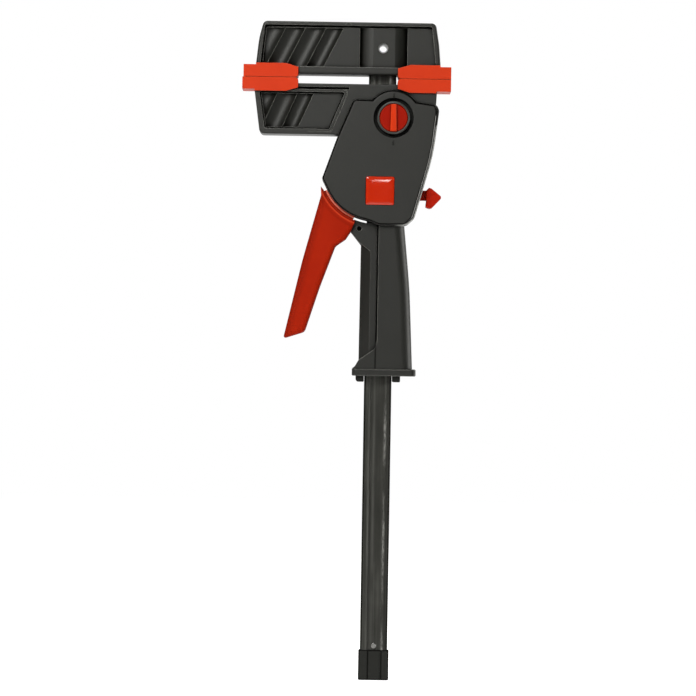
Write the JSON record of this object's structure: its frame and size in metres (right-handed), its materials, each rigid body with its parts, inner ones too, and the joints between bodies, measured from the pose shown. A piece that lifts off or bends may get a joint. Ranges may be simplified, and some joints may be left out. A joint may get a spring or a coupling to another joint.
{
  "type": "quick release bar clamp",
  "caption": "One-handed bar clamp and spreader with a sliding pistol-grip handle, squeeze lever, mode knob, release button and slip-on jaw pads.",
  "frame": {"origin": "centre of the hanging hole through the fixed jaw and the rail, on the rail's centre line and middle plane", "axes": "+Z along the rail towards the fixed jaw, front face with the knob towards -Y, long jaw arms towards -X"},
  "size_m": [0.1405, 0.0424, 0.4434],
  "materials": {
    "charcoal_plastic": "fine moulded grain, glass filled",
    "pad_plastic": "satin, tough and slightly soft",
    "lever_plastic": "satin moulded",
    "knob_plastic": "glossy moulded",
    "badge_red": "glossy",
    "rail_steel": "burnished and oiled, drawn grain along its length",
    "plate_steel": "blanked and tumbled",
    "spring_steel": "bright wire",
    "cap_plastic": "satin black",
    "collar_grey": "satin dark grey"
  },
  "bodies": {
    "rail_and_fixed_jaw": {"rail": "rail_steel", "fixed_jaw": "charcoal_plastic", "roll_pin": "plate_steel", "stop_pin": "plate_steel", "end_cap": "cap_plastic", "fixed_jaw_pad_long": "pad_plastic", "fixed_jaw_pad_short": "pad_plastic"},
    "handle": {"body_front": "charcoal_plastic", "body_back": "charcoal_plastic", "head_cover_front": "charcoal_plastic", "head_cover_back": "charcoal_plastic", "badge_plate": "badge_red", "rail_guide": "plate_steel", "grip_collar": "charcoal_plastic", "upper_spring_plate": "plate_steel", "lower_spring_plate": "plate_steel", "housing_screws": "plate_steel", "moving_jaw_pad_long": "pad_plastic", "moving_jaw_pad_short": "pad_plastic", "clamp_drive_spring": "spring_steel", "spread_drive_spring": "spring_steel", "clamp_brake_spring": "spring_steel", "spread_brake_spring": "spring_steel"},
    "lever": {"lever": "lever_plastic", "drive_pins": "plate_steel"},
    "clamp_drive": {"clamp_drive_plate": "plate_steel"},
    "spread_drive": {"spread_drive_plate": "plate_steel"},
    "clamp_brake": {"clamp_brake_plate": "plate_steel"},
    "spread_brake": {"spread_brake_plate": "plate_steel"},
    "knob": {"mode_knob": "knob_plastic", "knob_collar": "collar_grey", "mode_cam": "plate_steel"},
    "button": {"release_button": "knob_plastic"}
  },
  "joints": [
    {"name": "handle_slide", "type": "slide", "parent": "rail_and_fixed_jaw", "child": "handle", "axis": [0, 0, -1], "range_m": [0, 0.18]},
    {"name": "lever_squeeze", "type": "hinge", "parent": "handle", "child": "lever", "pos_m": [-0.00376, 0, -0.0807], "axis": [0, -1, 0], "range_deg": [0, 21], "stiffness_Nm_per_rad": 0.6, "springref_deg": -20.05},
    {"name": "clamp_drive_slide", "type": "slide", "parent": "handle", "child": "clamp_drive", "axis": [0, 0, -1], "range_m": [0, 0.006], "deforming": ["clamp_drive_spring"]},
    {"name": "spread_drive_slide", "type": "slide", "parent": "handle", "child": "spread_drive", "axis": [0, 0, 1], "range_m": [0, 0.006], "deforming": ["spread_drive_spring"]},
    {"name": "knob_turn", "type": "hinge", "parent": "handle", "child": "knob", "pos_m": [0.0077, 0, -0.0471], "axis": [0, -1, 0], "range_deg": [0, 180]},
    {"name": "spread_brake_tilt", "type": "hinge", "parent": "handle", "child": "spread_brake", "pos_m": [-0.0155, 0, -0.0534], "axis": [0, 1, 0], "range_deg": [0, 3], "deforming": ["spread_brake_spring"]},
    {"name": "release_press", "type": "slide", "parent": "handle", "child": "button", "axis": [-1, 0, 0], "range_m": [0, 0.002], "stiffness_N_per_m": 600, "springref_m": -0.003},
    {"name": "clamp_brake_tilt", "type": "hinge", "parent": "handle", "child": "clamp_brake", "pos_m": [-0.0155, 0, -0.104], "axis": [0, 1, 0], "range_deg": [0, 2.2], "deforming": ["clamp_brake_spring"]}
  ],
  "couplings": [
    {"joint": "clamp_drive_slide", "follows": "lever_squeeze", "m_per_rad": 0.016133},
    {"joint": "spread_drive_slide", "follows": "lever_squeeze", "m_per_rad": 0.016133},
    {"joint": "spread_brake_tilt", "follows": "knob_turn", "ratio": 0.015},
    {"joint": "clamp_brake_tilt", "follows": "release_press", "rad_per_m": 18.326}
  ]
}
